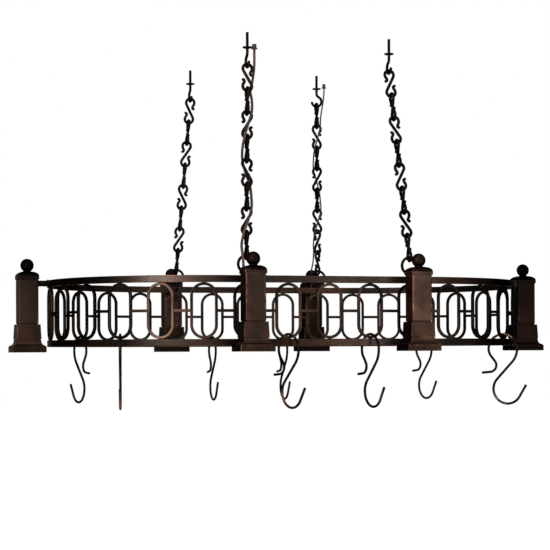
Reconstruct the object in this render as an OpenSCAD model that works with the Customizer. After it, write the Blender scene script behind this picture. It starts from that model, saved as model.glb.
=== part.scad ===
// Hanging pot rack: a racetrack of two rails joined by oval fretwork, six square
// posts with ball finials, and four chains of S links up to hooks in the ceiling.
// Millimetres, +Z up. The origin is on the ceiling, over the middle of the rack.

/* [Rack] */
// Length of the straight part of each rail
rail_straight = 420; // [300:10:700]
// Radius of the rails' half-round ends, to the middle of the bar
rail_end_r = 315; // [250:5:450]
// Thickness of the rail bar
rail_t = 8; // [6:0.5:10]
// Height of each rail bar
rail_h = 14.4; // [12:0.2:24]
// Height of the fretwork between the rails
fret_h = 114.3; // [90:0.1:180]
// Height of the lower rail above the feet of the posts
rail_foot_gap = 11.5; // [6:0.5:20]

/* [Fretwork] */
// Number of ovals round the rack
oval_n = 32; // [24:4:36]
// Width of an oval
oval_w = 56; // [48:1:62]
// Width of the strip that an oval is made of
oval_strip = 6; // [4:0.5:8]
// Thickness of the ovals and of the bars between them
fret_t = 6; // [4:0.5:8]

/* [Posts] */
// Which oval, counted from the middle of a long side, a side post stands beside
post_oval = 2; // [1:1:3]
// Distance from the middle of a rail out to the middle of a post
post_reach = 50; // [46:1:70]
// Width of the square shaft
shaft_w = 43; // [36:1:48]
// Wall of the shaft, which is a square tube
shaft_wall = 2.5; // [1.5:0.5:4]
// Height of the cap above the top of the top rail
cap_rise = 0.8; // [0:0.2:20]
// Width of the square foot plate
foot_w = 72; // [66:1:80]
// Height of the edge of the foot plate
foot_h = 13; // [9.5:0.5:16]
// Height of the flared moulding on the foot plate
mould_h = 15; // [12:1:24]
// Width of the plinth at the top of the moulding
plinth_w = 53.4; // [50:0.2:60]
// Width of the plinth at its top
plinth_top_w = 50; // [48:0.5:54]
// Height of the plinth
plinth_h = 32; // [20:1:50]
// Height of the shadow groove under the shaft
groove_h = 1.4; // [1:0.2:4]
// Width of the rim of the cap
rim_w = 46; // [45:0.5:56]
// Height of the rim of the cap
rim_h = 6.5; // [4:0.5:10]
// Height of the four-sided dome on the rim
dome_h = 10.8; // [8:0.2:18]
// Diameter of the neck under the ball
neck_d = 17; // [14:0.5:20]
// Diameter of the ball
ball_d = 27.5; // [24:0.5:36]

/* [Fasteners] */
// Diameter of the rod that holds a post together
tie_d = 8; // [6:1:10]
// Diameter of the screw that holds a rail to a post
screw_d = 5; // [4:0.5:6]
// Diameter of the spacer between the top rail and a post
spacer_d = 13; // [11:0.5:14]
// Diameter of the flange where the spacer meets the rail
flange_d = 17; // [15:0.5:20]
// Thickness of that flange
flange_t = 3; // [2:0.5:5]

/* [Hanging rings] */
// Radius of a hanging ring, to the middle of its wire
ring_r = 17.5; // [16:0.5:24]
// Wire of a hanging ring
ring_wire = 6; // [5:0.5:7]
// Height of the foot under a hanging ring
ring_foot_h = 2; // [1.5:0.5:5]

/* [Chains] */
// Number of links between the first and the last link of a chain
mid_links = 6; // [2:2:12]
// Wire of a link
link_wire = 6.4; // [5:0.2:6.6]
// Radius of a link's two eyes, to the middle of the wire
eye_r = 9.7; // [9.2:0.1:11]
// Distance from the middle of a link to the middle of an eye
eye_reach = 18.9; // [18:0.1:24]
// Length of the straight side of an S link, from an eye to its curled tip
side_l = 4.5; // [4:0.1:5]
// Radius of the curled tip, to the middle of the wire
curl_r = 3.5; // [3.4:0.1:4]
// Gap between touching links
link_gap = 0.3; // [0.2:0.1:0.5]
// How far a chain leans in along the rack's length, per unit of its height
lean_x = 0.053; // [0:0.001:0.1]
// How far a chain leans in across the rack, per unit of its height
lean_y = 0.16; // [0:0.01:0.2]
// How much lower the front right and back left chains hang than the front left one
slack = 0.5; // [0.4:0.1:0.8]
// How much lower the back right chain hangs, whose last links are turned
turned_slack = 1.4; // [1.2:0.1:2]

/* [Ceiling hooks] */
// Height of a ceiling hook below the ceiling, to the middle of the wire
hook_drop = 42; // [38:1:70]
// Wire of a ceiling hook
hook_wire = 6; // [5:0.5:7]
// Radius of a ceiling hook's bowl, to the middle of the wire
hook_bowl_r = 12; // [11.5:0.5:14]
// Radius of the bend between its bowl and its shank
hook_neck_r = 8; // [6:0.5:12]
// Length of the stud that goes up into the ceiling
stud_h = 30; // [20:1:60]
// Diameter of the collar against the ceiling
collar_d = 20; // [16:1:30]
// Thickness of the collar
collar_t = 3; // [2:0.5:5]

/* [Pot hooks] */
// Wire of a pot hook
pot_wire = 5.5; // [4:0.5:6]
// Radius of the saddle that hangs on the rack, to the middle of the wire
saddle_r = 31.5; // [29:0.5:36]
// Radius of the bowl that a pot hangs in, to the middle of the wire
bowl_r = 32; // [28:0.5:40]
// Length of the straight between the saddle and the bowl
shank_l = 50; // [30:1:80]
// Radius of the bends between the saddle and that straight
shank_bend_r = 42; // [30:1:60]
// Radius of the curl of the tail
tail_r = 14.5; // [10:0.5:20]

/* [Cords] */
// Thickness of the lamp cord on the front left chain
cord_left_d = 5.5; // [5:0.1:5.6]
// Thickness of the thin cord on the back right chain
cord_right_d = 3.5; // [3:0.1:3.6]
// Wall of the bushes that the cords go through
bush_wall = 2; // [1.5:0.5:3]
// Clearance of a loose fit
fit = 0.2; // [0.1:0.05:0.4]

/* [Hidden] */
$fn = 96;
// heights above the feet of the posts
low_top_z = rail_foot_gap + rail_h;
top_rail_z = low_top_z + fret_h;
rack_top_z = top_rail_z + rail_h;
fret_mid_z = low_top_z + fret_h / 2;
plinth_z = foot_h + mould_h;
groove_z = plinth_z + plinth_h;
shaft_z = groove_z + groove_h;
cap_z = rack_top_z + cap_rise;
shaft_h = cap_z - shaft_z;
dome_z = cap_z + rim_h;
neck_z = dome_z + dome_h;
ball_z = neck_z + ball_d / 2;
spacer_z = top_rail_z + rail_h / 2;
ring_z = rack_top_z + ring_foot_h + ring_wire / 2 + ring_r;

// the rails' path, measured along it from the middle of the front
half_straight = rail_straight / 2;
end_arc = PI * rail_end_r;
oval_pitch = (2 * rail_straight + 2 * end_arc) / oval_n;
post_x = post_oval * oval_pitch;
function on_rails(s) =
    s < 0 ? let (p = on_rails(-s)) [-p[0], p[1], -p[2]]
    : s <= half_straight ? [s, -rail_end_r, 0]
    : s <= half_straight + end_arc
        ? let (a = (s - half_straight) / rail_end_r * 180 / PI)
            [half_straight + rail_end_r * sin(a), -rail_end_r * cos(a), a]
    : [2 * half_straight + end_arc - s, rail_end_r, 180];

// posts: name, x, y and the direction from the rail out to the post
POSTS = [
    ["left", -half_straight - rail_end_r - post_reach, 0, 180],
    ["right", half_straight + rail_end_r + post_reach, 0, 0],
    ["front_left", -post_x, -rail_end_r - post_reach, -90],
    ["front_right", post_x, -rail_end_r - post_reach, -90],
    ["back_left", -post_x, rail_end_r + post_reach, 90],
    ["back_right", post_x, rail_end_r + post_reach, 90]
];

// chains: name, side in x, side in y, how much lower it hangs, turn of its hanging
// ring, turn of each link from the top, and turn of its ceiling hook
MID_EVEN = [for (i = [2:mid_links + 1]) i % 2 == 0 ? 90 : i % 4 == 3 ? 180 : 0];
MID_ODD = [for (i = [2:mid_links]) i % 2 == 0 ? (i % 4 == 0 ? 180 : 0) : 90];
CHAINS = [
    ["front_left", -1, -1, 0, 0, concat([0], MID_EVEN, [90]), 90],
    ["front_right", 1, -1, slack, 0, concat([180], [for (a = MID_EVEN) a == 90 ? 90 : 180 - a], [90]), 90],
    ["back_left", -1, 1, slack, 0, concat([0], MID_EVEN, [90]), 90],
    ["back_right", 1, 1, turned_slack, -22, concat([90], MID_ODD, [113, 45]), 0]
];
link_n = mid_links + 2;
link_half = eye_reach + eye_r;
link_pitch = 2 * link_half - link_wire - link_gap;
// a chain's tilt about x and then y, which lays its length along its lean
lean_len = sqrt(1 + lean_x * lean_x + lean_y * lean_y);
tilt_x = asin(lean_y / lean_len);
tilt_y = atan(lean_x);
// from the ceiling hook's wire to the last link's wire, along the chain
first_seat = (hook_wire + link_wire) / 2 + link_gap;
chain_l = 2 * link_half + (link_n - 1) * link_pitch - first_seat;
chain_drop = chain_l / lean_len;
last_seat = (link_wire + ring_wire) / 2 + 2 * link_gap;
// height of the posts' feet below the ceiling
feet_z = -hook_drop - chain_drop + last_seat - ring_z - ring_r;
hook_x = post_x - chain_drop * lean_x;
hook_y = rail_end_r - chain_drop * lean_y;
eye_turn = 239;
curl_turn = 110;
// where an S link's diagonal meets an eye
link_slant = asin(eye_r / eye_reach);
link_diag = sqrt(eye_reach * eye_reach - eye_r * eye_r);

// pot hooks: which oval one hangs in, and its turn from square to the rail
POT_HOOKS = [[-11, -26], [-5, 30], [-1, 23], [1, 14], [5, 10], [11, -15], [15, -35], [-15, -29]];

// half a pot hook from the top of its saddle to the tip of its bowl, and to its tail
shank_turn = 42;
MAIN_HALF = [
    [saddle_r, 90], [shank_bend_r, shank_turn], [0, shank_l],
    [bowl_r, -shank_turn - 66], [0.94 * bowl_r, -84], [0, 28]
];
TAIL_HALF = [[saddle_r, -90], [0.6 * shank_bend_r, -38], [0, 14], [tail_r, 123], [0, 17]];
POT_PATH = concat(
    reversed(with_tip(walk(TAIL_HALF, dir = -90), pot_wire)),
    [[0, 0, 0]],
    with_tip(walk(MAIN_HALF, dir = 90), pot_wire)
);
// a ceiling hook from its collar down: shank, neck and bowl, its seat at the origin
neck_turn = acos(hook_neck_r / (hook_neck_r + hook_bowl_r));
neck_h = sqrt(hook_bowl_r * hook_bowl_r + 2 * hook_bowl_r * hook_neck_r);
function hook_path(h) =
    let (
        start = [0, 0, -h],
        moves = [[0, h - hook_bowl_r - neck_h], [hook_neck_r, -neck_turn], [hook_bowl_r, neck_turn + 165]]
    ) with_tip(concat([start], walk(moves, start)), hook_wire);

spacer_l = post_reach - rail_t / 2 - shaft_w / 2;
screw_head_h = 0.6 * screw_d;
// radius of the dome's curve, which falls from its flat top to the rim
dome_r = dome_h / 2 + (rim_w - 2) * (rim_w - 2) / 8 / dome_h;

// the cords' routes from the ceiling down, chosen by hand clear of the links
CORD_LEFT = [
    [-137, -240, 8], [-137, -240, -14], [-138, -242, -40], [-143, -246, -70], [-149, -251, -90],
    [-149, -263, -114], [-153, -275, -139], [-162, -280, -163], [-170, -283, -188], [-174, -279, -213],
    [-173, -275, -237], [-167, -277, -263], [-160, -283, -288], [-160, -295, -313], [-163, -306, -338],
    [-172, -312, -363], [-181, -314, -387], [-185, -310, -411], [-187, -323, -429], [-187, -330, -450],
    [-187, -331, -470], [-187, -331, -487], [-187, -332.5, -493], [-187, -336.5, -497.5],
    [-187, -342, -499], [-187, -347.5, -499], [-187, -353, -499]
];
CORD_RIGHT = [
    [168, 234, 8], [168, 234, -14], [166, 236, -36], [166, 254, -69], [164, 252, -92],
    [159, 254, -116], [153, 260, -141], [153, 271, -165], [156, 281, -190], [164, 287, -214],
    [172, 289, -239], [175, 287, -265], [175, 284, -289], [169, 286, -314], [163, 292, -339],
    [162, 302, -364], [164, 308, -389], [164, 313, -413], [163, 321, -429], [165, 329, -448],
    [165, 331, -470], [165, 331, -487], [165, 332.5, -493], [165, 336.5, -497.5],
    [165, 342, -499], [165, 347.5, -499], [165, 353, -499]
];
CORDS = [
    ["front_left", CORD_LEFT, cord_left_d, -1],
    ["back_right", CORD_RIGHT, cord_right_d, 1]
];
// a smooth curve through the points of a route, two steps to each
function curve(p) = concat(
    [for (i = [0:len(p) - 2])
        let (a = p[max(i - 1, 0)], b = p[i], c = p[i + 1], d = p[min(i + 2, len(p) - 1)])
        for (t = [0, 0.5])
        b + t * (c - a) / 2 + t * t * (a - 2.5 * b + 2 * c - d / 2) + t * t * t * (3 * b - a - 3 * c + d) / 2],
    [p[len(p) - 1]]
);

// ---- rods and tubes

// points along a path in the XZ plane: a move is [radius, degrees] or [0, length]
function walk(moves, at = [0, 0, 0], dir = 0, i = 0) =
    i == len(moves) ? []
    : moves[i][0] == 0
        ? let (to = at + moves[i][1] * [sin(dir), 0, cos(dir)])
            concat([to], walk(moves, to, dir, i + 1))
    : let (
        turn = sign(moves[i][1]),
        steps = ceil(abs(moves[i][1]) / arc_step(moves[i][0])),
        hub = at + turn * moves[i][0] * [cos(dir), 0, -sin(dir)],
        arc = [for (k = [1:steps])
            let (a = dir + k / steps * moves[i][1])
            hub - turn * moves[i][0] * [cos(a), 0, -sin(a)]]
    ) concat(arc, walk(moves, arc[steps - 1], dir + moves[i][1], i + 1));
// degrees between the rings of a bend: about 7 mm along a wide one
function arc_step(r) = max(10, min(15, 400 / r));

// a rounded tip: two more points beyond a path's last one, d the rod's diameter
function with_tip(path, d) =
    let (end = path[len(path) - 1], way = end - path[len(path) - 2])
    concat(path, [end + 0.35 * d * way / norm(way)]);

// a path run backwards
function reversed(path) = [for (i = [len(path) - 1:-1:0]) path[i]];

// a polyhedron swept along a path; across is a direction that the path never takes
module tube(path, d, across, sides = 8, tip = 1)
{
    last = len(path) - 1;
    points = [for (i = [0:last])
        let (
            ahead = path[min(i + 1, last)] - path[max(i - 1, 0)],
            u = cross(ahead, across) / norm(cross(ahead, across)),
            v = cross(ahead, u) / norm(cross(ahead, u)),
            r = (i == 0 || i == last ? tip : 1) * d / 2
        )
        for (k = [0:sides - 1]) path[i] + r * (cos(k * 360 / sides) * u + sin(k * 360 / sides) * v)];
    faces = concat(
        [[for (k = [0:sides - 1]) k]],
        [[for (k = [sides - 1:-1:0]) last * sides + k]],
        [for (i = [0:last - 1], k = [0:sides - 1])
            let (a = i * sides, b = a + sides, n = (k + 1) % sides)
            each [[a + k, b + k, b + n], [a + k, b + n, a + n]]]
    );
    polyhedron(points, faces, convexity = 6);
}

// ---- rack

module racetrack(out)
{
    translate([-half_straight, -rail_end_r - out]) square([rail_straight, 2 * (rail_end_r + out)]);
    for (s = [-1, 1]) translate([s * half_straight, 0]) circle(r = rail_end_r + out);
}

module rail()
{
    linear_extrude(rail_h)
    difference() {
        racetrack(rail_t / 2);
        racetrack(-rail_t / 2);
    }
}

// places children on a spacer's axis, +Z pointing from the middle of the rail to the post
module at_spacer(p)
{
    translate([p[1], p[2], feet_z + spacer_z])
    rotate(p[3])
    translate([-post_reach, 0, 0])
    rotate([0, 90, 0])
    children();
}

module top_rail()
{
    color([0.09, 0.07, 0.06])
    difference() {
        translate([0, 0, feet_z + top_rail_z]) rail();
        for (p = POSTS) at_spacer(p) cylinder(h = 2 * rail_t, d = screw_d + 2 * fit, center = true);
    }
}

module lower_rail()
{
    color([0.11, 0.07, 0.06])
    translate([0, 0, feet_z + rail_foot_gap]) rail();
}

module oval_shape(w, h)
{
    square([w, h - w], center = true);
    for (s = [-1, 1]) translate([0, s * (h - w) / 2]) circle(d = w);
}

module fretwork_ovals()
{
    color([0.10, 0.08, 0.07])
    for (k = [1 - oval_n / 2:oval_n / 2])
    let (p = on_rails(k * oval_pitch))
    translate([p[0], p[1], feet_z + fret_mid_z])
    rotate([90, 0, p[2]])
    translate([0, 0, -fret_t / 2])
    linear_extrude(fret_t)
    difference() {
        oval_shape(oval_w, fret_h);
        oval_shape(oval_w - 2 * oval_strip, fret_h - 2 * oval_strip);
    }
}

// a short bar from the edge of one oval to the edge of the next
module fretwork_bars()
{
    color([0.10, 0.08, 0.07])
    for (k = [1 - oval_n / 2:oval_n / 2])
    let (
        a = on_rails((k - 1) * oval_pitch),
        b = on_rails(k * oval_pitch),
        from = [a[0], a[1]] + oval_w / 2 * [cos(a[2]), sin(a[2])],
        to = [b[0], b[1]] - oval_w / 2 * [cos(b[2]), sin(b[2])],
        run = to - from,
        way = atan2(run[1], run[0]),
        trim_a = fret_t / 2 * abs(tan(way - a[2])),
        trim_b = fret_t / 2 * abs(tan(way - b[2]))
    )
    translate([from[0], from[1], feet_z + fret_mid_z])
    rotate(way)
    translate([trim_a, -fret_t / 2, -fret_t / 2])
    cube([norm(run) - trim_a - trim_b, fret_t, fret_t]);
}

// ---- posts

// a block with four equal sides, each with the outline of the children
module four_sided(w)
{
    intersection() {
        rotate([90, 0, 0]) linear_extrude(w, center = true) children();
        rotate([90, 0, 90]) linear_extrude(w, center = true) children();
    }
}

module centred(w, h, z)
{
    translate([-w / 2, z]) square([w, h]);
}

spigot_w = shaft_w - 2 * shaft_wall - 2 * fit;
spigot_h = 6;
// the cap's spigot ends above the spacer's screw
cap_spigot_h = cap_z - spacer_z - screw_d;
nut_h = 0.8 * tie_d;
nut_w = 1.625 * tie_d;
washer_d = 2.1 * tie_d;
washer_t = 0.2 * tie_d;
recess_h = nut_h + washer_t + 1;
chamfer = 1.5;
// the moulding's flare: how far it stands out, and the radius of its hollow
flare_w = (foot_w - plinth_w) / 2 - chamfer;
flare_h = mould_h - chamfer;
flare_r = (flare_w * flare_w + flare_h * flare_h) / 2 / flare_w;

module base_outline()
{
    polygon([
        [-foot_w / 2, 0], [foot_w / 2, 0],
        [foot_w / 2, foot_h - chamfer], [foot_w / 2 - chamfer, foot_h],
        [-foot_w / 2 + chamfer, foot_h], [-foot_w / 2, foot_h - chamfer]
    ]);
    difference() {
        centred(plinth_w + 2 * flare_w, mould_h, foot_h);
        for (s = [-1, 1]) translate([s * (plinth_w / 2 + flare_r), plinth_z]) circle(r = flare_r);
    }
    polygon([
        [-plinth_w / 2, plinth_z], [plinth_w / 2, plinth_z],
        [plinth_top_w / 2, groove_z - chamfer], [plinth_top_w / 2 - chamfer, groove_z],
        [-plinth_top_w / 2 + chamfer, groove_z], [-plinth_top_w / 2, groove_z - chamfer]
    ]);
}

// places children at the middle of a post's foot
module at_post(p)
{
    translate([p[1], p[2], feet_z]) children();
}

module post_base(p)
{
    color([0.16, 0.12, 0.10])
    at_post(p)
    difference() {
        union() {
            four_sided(foot_w) base_outline();
            translate([0, 0, groove_z + groove_h / 2]) cube([shaft_w - 3, shaft_w - 3, groove_h], center = true);
            translate([0, 0, shaft_z + spigot_h / 2]) cube([spigot_w, spigot_w, spigot_h], center = true);
        }
        translate([0, 0, -1]) cylinder(h = shaft_z + spigot_h + 2, d = tie_d + 2 * fit);
        translate([0, 0, -1]) cylinder(h = recess_h + 1, d = washer_d + 2 * fit);
    }
}

// a square tube, with a hole on its inner side for the spacer's screw
module post_shaft(p)
{
    color([0.22, 0.12, 0.09])
    difference() {
        at_post(p)
        translate([0, 0, shaft_z + shaft_h / 2])
        difference() {
            cube([shaft_w, shaft_w, shaft_h], center = true);
            cube([shaft_w - 2 * shaft_wall, shaft_w - 2 * shaft_wall, shaft_h + 1], center = true);
        }
        at_spacer(p) cylinder(h = post_reach, d = screw_d);
        for (c = CORDS)
        if (c[0] == p[0]) at_cord_end(c) cylinder(h = 4 * shaft_wall, d = c[2] + 2 * bush_wall, center = true);
    }
}

// places children where a cord meets its post, +Z pointing out of the post
module at_cord_end(c)
{
    translate([c[1][len(c[1]) - 1][0], c[3] * (rail_end_r + post_reach - shaft_w / 2), c[1][len(c[1]) - 1][2]])
    rotate([c[3] * 90, 0, 0])
    children();
}

module cap_outline()
{
    centred(rim_w, rim_h, cap_z);
    intersection() {
        centred(rim_w - 2, dome_h, dome_z);
        translate([0, dome_z + dome_h - dome_r]) circle(r = dome_r);
    }
    centred(neck_d + 2, dome_h, dome_z);
}

module post_cap(p)
{
    color([0.17, 0.12, 0.10])
    at_post(p)
    difference() {
        union() {
            four_sided(rim_w) cap_outline();
            translate([0, 0, cap_z - cap_spigot_h / 2]) cube([spigot_w, spigot_w, cap_spigot_h], center = true);
        }
        translate([0, 0, cap_z - cap_spigot_h - 1])
        cylinder(h = cap_spigot_h + rim_h + dome_h + 2, d = tie_d + 2 * fit);
    }
}

module ball_finials()
{
    color([0.20, 0.12, 0.09])
    for (p = POSTS)
    at_post(p)
    difference() {
        union() {
            translate([0, 0, ball_z]) sphere(d = ball_d);
            translate([0, 0, neck_z]) cylinder(h = ball_z - neck_z, d = neck_d);
        }
        translate([0, 0, neck_z - 1]) cylinder(h = ball_z - neck_z + 1, d = tie_d);
    }
}

// ---- what holds the posts together and to the rails

module tie_rods()
{
    color([0.45, 0.45, 0.44])
    for (p = POSTS) at_post(p) translate([0, 0, 1]) cylinder(h = ball_z - 1, d = tie_d);
}

module tie_nuts()
{
    color([0.45, 0.45, 0.44])
    for (p = POSTS)
    at_post(p)
    translate([0, 0, 1])
    difference() {
        cylinder(h = nut_h, d = nut_w / cos(30), $fn = 6);
        translate([0, 0, -1]) cylinder(h = nut_h + 2, d = tie_d);
    }
}

module tie_washers()
{
    color([0.45, 0.45, 0.44])
    for (p = POSTS)
    at_post(p)
    translate([0, 0, 1 + nut_h])
    difference() {
        cylinder(h = washer_t, d = washer_d);
        translate([0, 0, -1]) cylinder(h = washer_t + 2, d = tie_d + 2 * fit);
    }
}

module rail_spacers()
{
    color([0.10, 0.08, 0.07])
    for (p = POSTS)
    at_spacer(p)
    translate([0, 0, rail_t / 2])
    difference() {
        union() {
            cylinder(h = spacer_l, d = spacer_d);
            cylinder(h = flange_t, d = flange_d);
        }
        translate([0, 0, -1]) cylinder(h = spacer_l + 2, d = screw_d + 2 * fit);
    }
}

module spacer_screws()
{
    color([0.12, 0.10, 0.09])
    for (p = POSTS)
    at_spacer(p) {
        translate([0, 0, -rail_t / 2 - screw_head_h]) cylinder(h = screw_head_h, d = 1.9 * screw_d);
        translate([0, 0, -rail_t / 2]) cylinder(h = rail_t + spacer_l + shaft_wall + screw_d, d = screw_d);
    }
}

// ---- what it hangs on

module hanging_ring(c)
{
    color([0.06, 0.055, 0.05])
    translate([c[1] * post_x, c[2] * rail_end_r, feet_z + rack_top_z])
    rotate([0, 0, c[4]]) {
        translate([0, 0, ring_foot_h + ring_wire / 2 + ring_r])
        rotate([90, 0, 0])
        rotate_extrude()
        translate([ring_r, 0]) circle(d = ring_wire);
        cylinder(h = ring_foot_h + ring_wire / 2, d = rail_t);
    }
}

// places children where a ceiling hook's wire carries a chain, +Z up
module at_seat(c)
{
    translate([c[1] * hook_x, c[2] * hook_y, -hook_drop - c[3]]) children();
}

module ceiling_hook(c)
{
    color([0.06, 0.055, 0.05]) {
        at_seat(c) rotate([0, 0, c[6]]) rotate([0, 180, 0])
        tube(hook_path(hook_drop + c[3] - collar_t / 2), hook_wire, [0, 1, 0], tip = 0.5);
        translate([c[1] * hook_x, c[2] * hook_y, -collar_t]) cylinder(h = collar_t, d = collar_d);
        translate([c[1] * hook_x, c[2] * hook_y, 0]) cylinder(h = stud_h, d = hook_wire);
    }
}

// half of an S link in the XZ plane: from its middle up the slant, round an eye and
// back to a curled tip
module half_link()
{
    rotate([0, -link_slant, 0]) {
        cylinder(h = link_diag, d = link_wire, $fn = 48);
        translate([0, 0, link_diag]) {
            bend(eye_r, eye_turn);
            after_bend(eye_r, eye_turn) {
                cylinder(h = side_l, d = link_wire, $fn = 48);
                translate([0, 0, side_l]) {
                    bend(-curl_r, curl_turn);
                    after_bend(-curl_r, curl_turn) sphere(d = link_wire, $fn = 48);
                }
            }
        }
    }
}

// a bend of the link's wire in the XZ plane: starts at the origin along +Z and turns
// to +X for a positive radius
module bend(r, angle)
{
    translate([r, 0, 0])
    rotate([90, 0, 0])
    rotate(r > 0 ? 180 - angle : 0)
    rotate_extrude(angle = angle)
    translate([abs(r), 0]) circle(d = link_wire, $fn = 48);
}

module after_bend(r, angle)
{
    translate([r, 0, 0]) rotate([0, sign(r) * angle, 0]) translate([-r, 0, 0]) children();
}

module s_link()
{
    half_link();
    rotate([0, 180, 0]) half_link();
}

// links number first to last of a chain, counted from the ceiling
module links(c, first, last)
{
    color([0.06, 0.055, 0.05])
    at_seat(c)
    rotate([c[2] * tilt_x, -c[1] * tilt_y, 0])
    for (i = [first:last])
    translate([0, 0, first_seat - link_half - (i - 1) * link_pitch])
    rotate(c[5][i - 1])
    s_link();
}

// ---- pot hooks and cords

module pot_hook(h)
{
    color([0.05, 0.045, 0.04])
    let (p = on_rails(h[0] * oval_pitch))
    translate([p[0], p[1], feet_z + low_top_z + oval_strip + pot_wire / 2 + 2 * link_gap])
    rotate(p[2] - 90 + h[1])
    tube(POT_PATH, pot_wire, [0, 1, 0], tip = 0.5);
}

module cord(c)
{
    color(c[2] > 4 ? [0.35, 0.17, 0.09] : [0.05, 0.05, 0.05])
    tube(curve(c[1]), c[2], [1, 0, 0]);
}

// the bushes where the cords come out of the ceiling
module ceiling_bushes()
{
    color([0.04, 0.04, 0.04])
    for (c = CORDS) translate([c[1][0][0], c[1][0][1], 0]) rotate([180, 0, 0]) bush(c[2], c[1][0][2]);
}

// the bushes where they go into a post's shaft
module post_bushes()
{
    color([0.04, 0.04, 0.04])
    for (c = CORDS) at_cord_end(c) bush(c[2], shaft_wall);
}

// a bush with its flange on the face at z = 0 and its sleeve below
module bush(d, sleeve)
{
    difference() {
        union() {
            translate([0, 0, -sleeve]) cylinder(h = sleeve, d = d + 2 * bush_wall);
            cylinder(h = bush_wall, d = d + 4 * bush_wall);
        }
        translate([0, 0, -sleeve - 1]) cylinder(h = sleeve + bush_wall + 2, d = d + 2 * fit);
    }
}

top_rail();
lower_rail();
fretwork_ovals();
fretwork_bars();
for (p = POSTS) {
    post_base(p);
    post_shaft(p);
    post_cap(p);
}
ball_finials();
tie_rods();
tie_nuts();
tie_washers();
rail_spacers();
spacer_screws();
for (c = CHAINS) {
    hanging_ring(c);
    ceiling_hook(c);
    links(c, 1, 1);
    links(c, 2, link_n - 1);
    links(c, link_n, link_n);
}
for (i = [1:len(POT_HOOKS)])
    pot_hook(POT_HOOKS[i - 1]);
for (c = CORDS)
    cord(c);
ceiling_bushes();
post_bushes();
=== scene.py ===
"""Hanging pot rack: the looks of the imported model, in metres and in the CAD's frame.

The origin is on the ceiling over the middle of the rack, +X along it and +Z up.
"""

import math

import bmesh
import bpy
from mathutils import Matrix, Vector


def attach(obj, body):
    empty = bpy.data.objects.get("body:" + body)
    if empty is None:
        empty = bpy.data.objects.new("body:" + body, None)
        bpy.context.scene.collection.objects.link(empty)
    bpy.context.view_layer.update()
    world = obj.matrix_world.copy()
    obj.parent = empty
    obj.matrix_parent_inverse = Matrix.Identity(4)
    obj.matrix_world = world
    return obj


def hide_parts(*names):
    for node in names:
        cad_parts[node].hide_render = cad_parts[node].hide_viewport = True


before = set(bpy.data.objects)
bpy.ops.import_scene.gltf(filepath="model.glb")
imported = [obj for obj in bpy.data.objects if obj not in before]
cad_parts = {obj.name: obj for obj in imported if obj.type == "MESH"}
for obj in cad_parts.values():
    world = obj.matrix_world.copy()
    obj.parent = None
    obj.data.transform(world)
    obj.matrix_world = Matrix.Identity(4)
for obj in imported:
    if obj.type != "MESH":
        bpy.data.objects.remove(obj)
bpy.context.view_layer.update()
MM = 0.001


# ---- Camera
# Level with the feet of the posts and left of the middle, turned towards the right,
# with a long lens. Its upward shift shows the chains and leaves room under the hooks.

PICTURE_PX = 550
FOCAL_PX = 1724.6
HORIZON_PX = 351.2
VIEW_FROM = (-1.1024, -3.6784, -0.6278)
VIEW_TURN = -0.285
VIEW_ROLL = -0.0042

view_lens = bpy.data.cameras.new("camera")
view_lens.lens = FOCAL_PX / PICTURE_PX * view_lens.sensor_width
view_lens.shift_y = (HORIZON_PX - PICTURE_PX / 2) / PICTURE_PX
view_lens.clip_end = 200
camera = bpy.data.objects.new("camera", view_lens)
camera.location = VIEW_FROM
camera.rotation_euler = (
    Matrix.Rotation(VIEW_TURN, 3, "Z")
    @ Matrix.Rotation(math.pi / 2, 3, "X")
    @ Matrix.Rotation(VIEW_ROLL, 3, "Z")
).to_euler()
bpy.context.scene.collection.objects.link(camera)
bpy.context.scene.camera = camera


# ---- Cords
# Two lamp cords that come out of bushes in the ceiling and wander down their chains
# into a post: a brown one as thick as a lamp lead and a thin black one.

# cord: thickness in millimetres, length in metres, and the points of its route
CORD_ROUTES = {
    "cord_front_left": (5.5, 0.556, (
        (-137, -240, 8), (-137, -240, -14), (-138, -242, -40), (-143, -246, -70),
        (-149, -251, -90), (-149, -263, -114), (-153, -275, -139), (-162, -280, -163),
        (-170, -283, -188), (-174, -279, -213), (-173, -275, -237), (-167, -277, -263),
        (-160, -283, -288), (-160, -295, -313), (-163, -306, -338), (-172, -312, -363),
        (-181, -314, -387), (-185, -310, -411), (-187, -323, -429), (-187, -330, -450),
        (-187, -331, -470), (-187, -331, -487), (-187, -332.5, -493), (-187, -336.5, -497.5),
        (-187, -342, -499), (-187, -347.5, -499), (-187, -353, -499),
    )),
    "cord_back_right": (3.5, 0.550, (
        (168, 234, 8), (168, 234, -14), (166, 236, -36), (166, 254, -69),
        (164, 252, -92), (159, 254, -116), (153, 260, -141), (153, 271, -165),
        (156, 281, -190), (164, 287, -214), (172, 289, -239), (175, 287, -265),
        (175, 284, -289), (169, 286, -314), (163, 292, -339), (162, 302, -364),
        (164, 308, -389), (164, 313, -413), (163, 321, -429), (165, 329, -448),
        (165, 331, -470), (165, 331, -487), (165, 332.5, -493), (165, 336.5, -497.5),
        (165, 342, -499), (165, 347.5, -499), (165, 353, -499),
    )),
}
THREAD_LEAN = 0.6


def smooth_line(points, steps=6):
    """A curve through every point of a route, with steps points to each of its spans."""
    last = len(points) - 1
    line = []
    for i in range(last):
        a, b, c, d = (points[min(max(i + k, 0), last)] for k in (-1, 0, 1, 2))
        for step in range(steps):
            t = step / steps
            line.append(
                b + t * (c - a) / 2
                + t * t * (a - 2.5 * b + 2 * c - d / 2)
                + t * t * t * (3 * b - a - 3 * c + d) / 2
            )
    return line + [points[last]]


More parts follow.
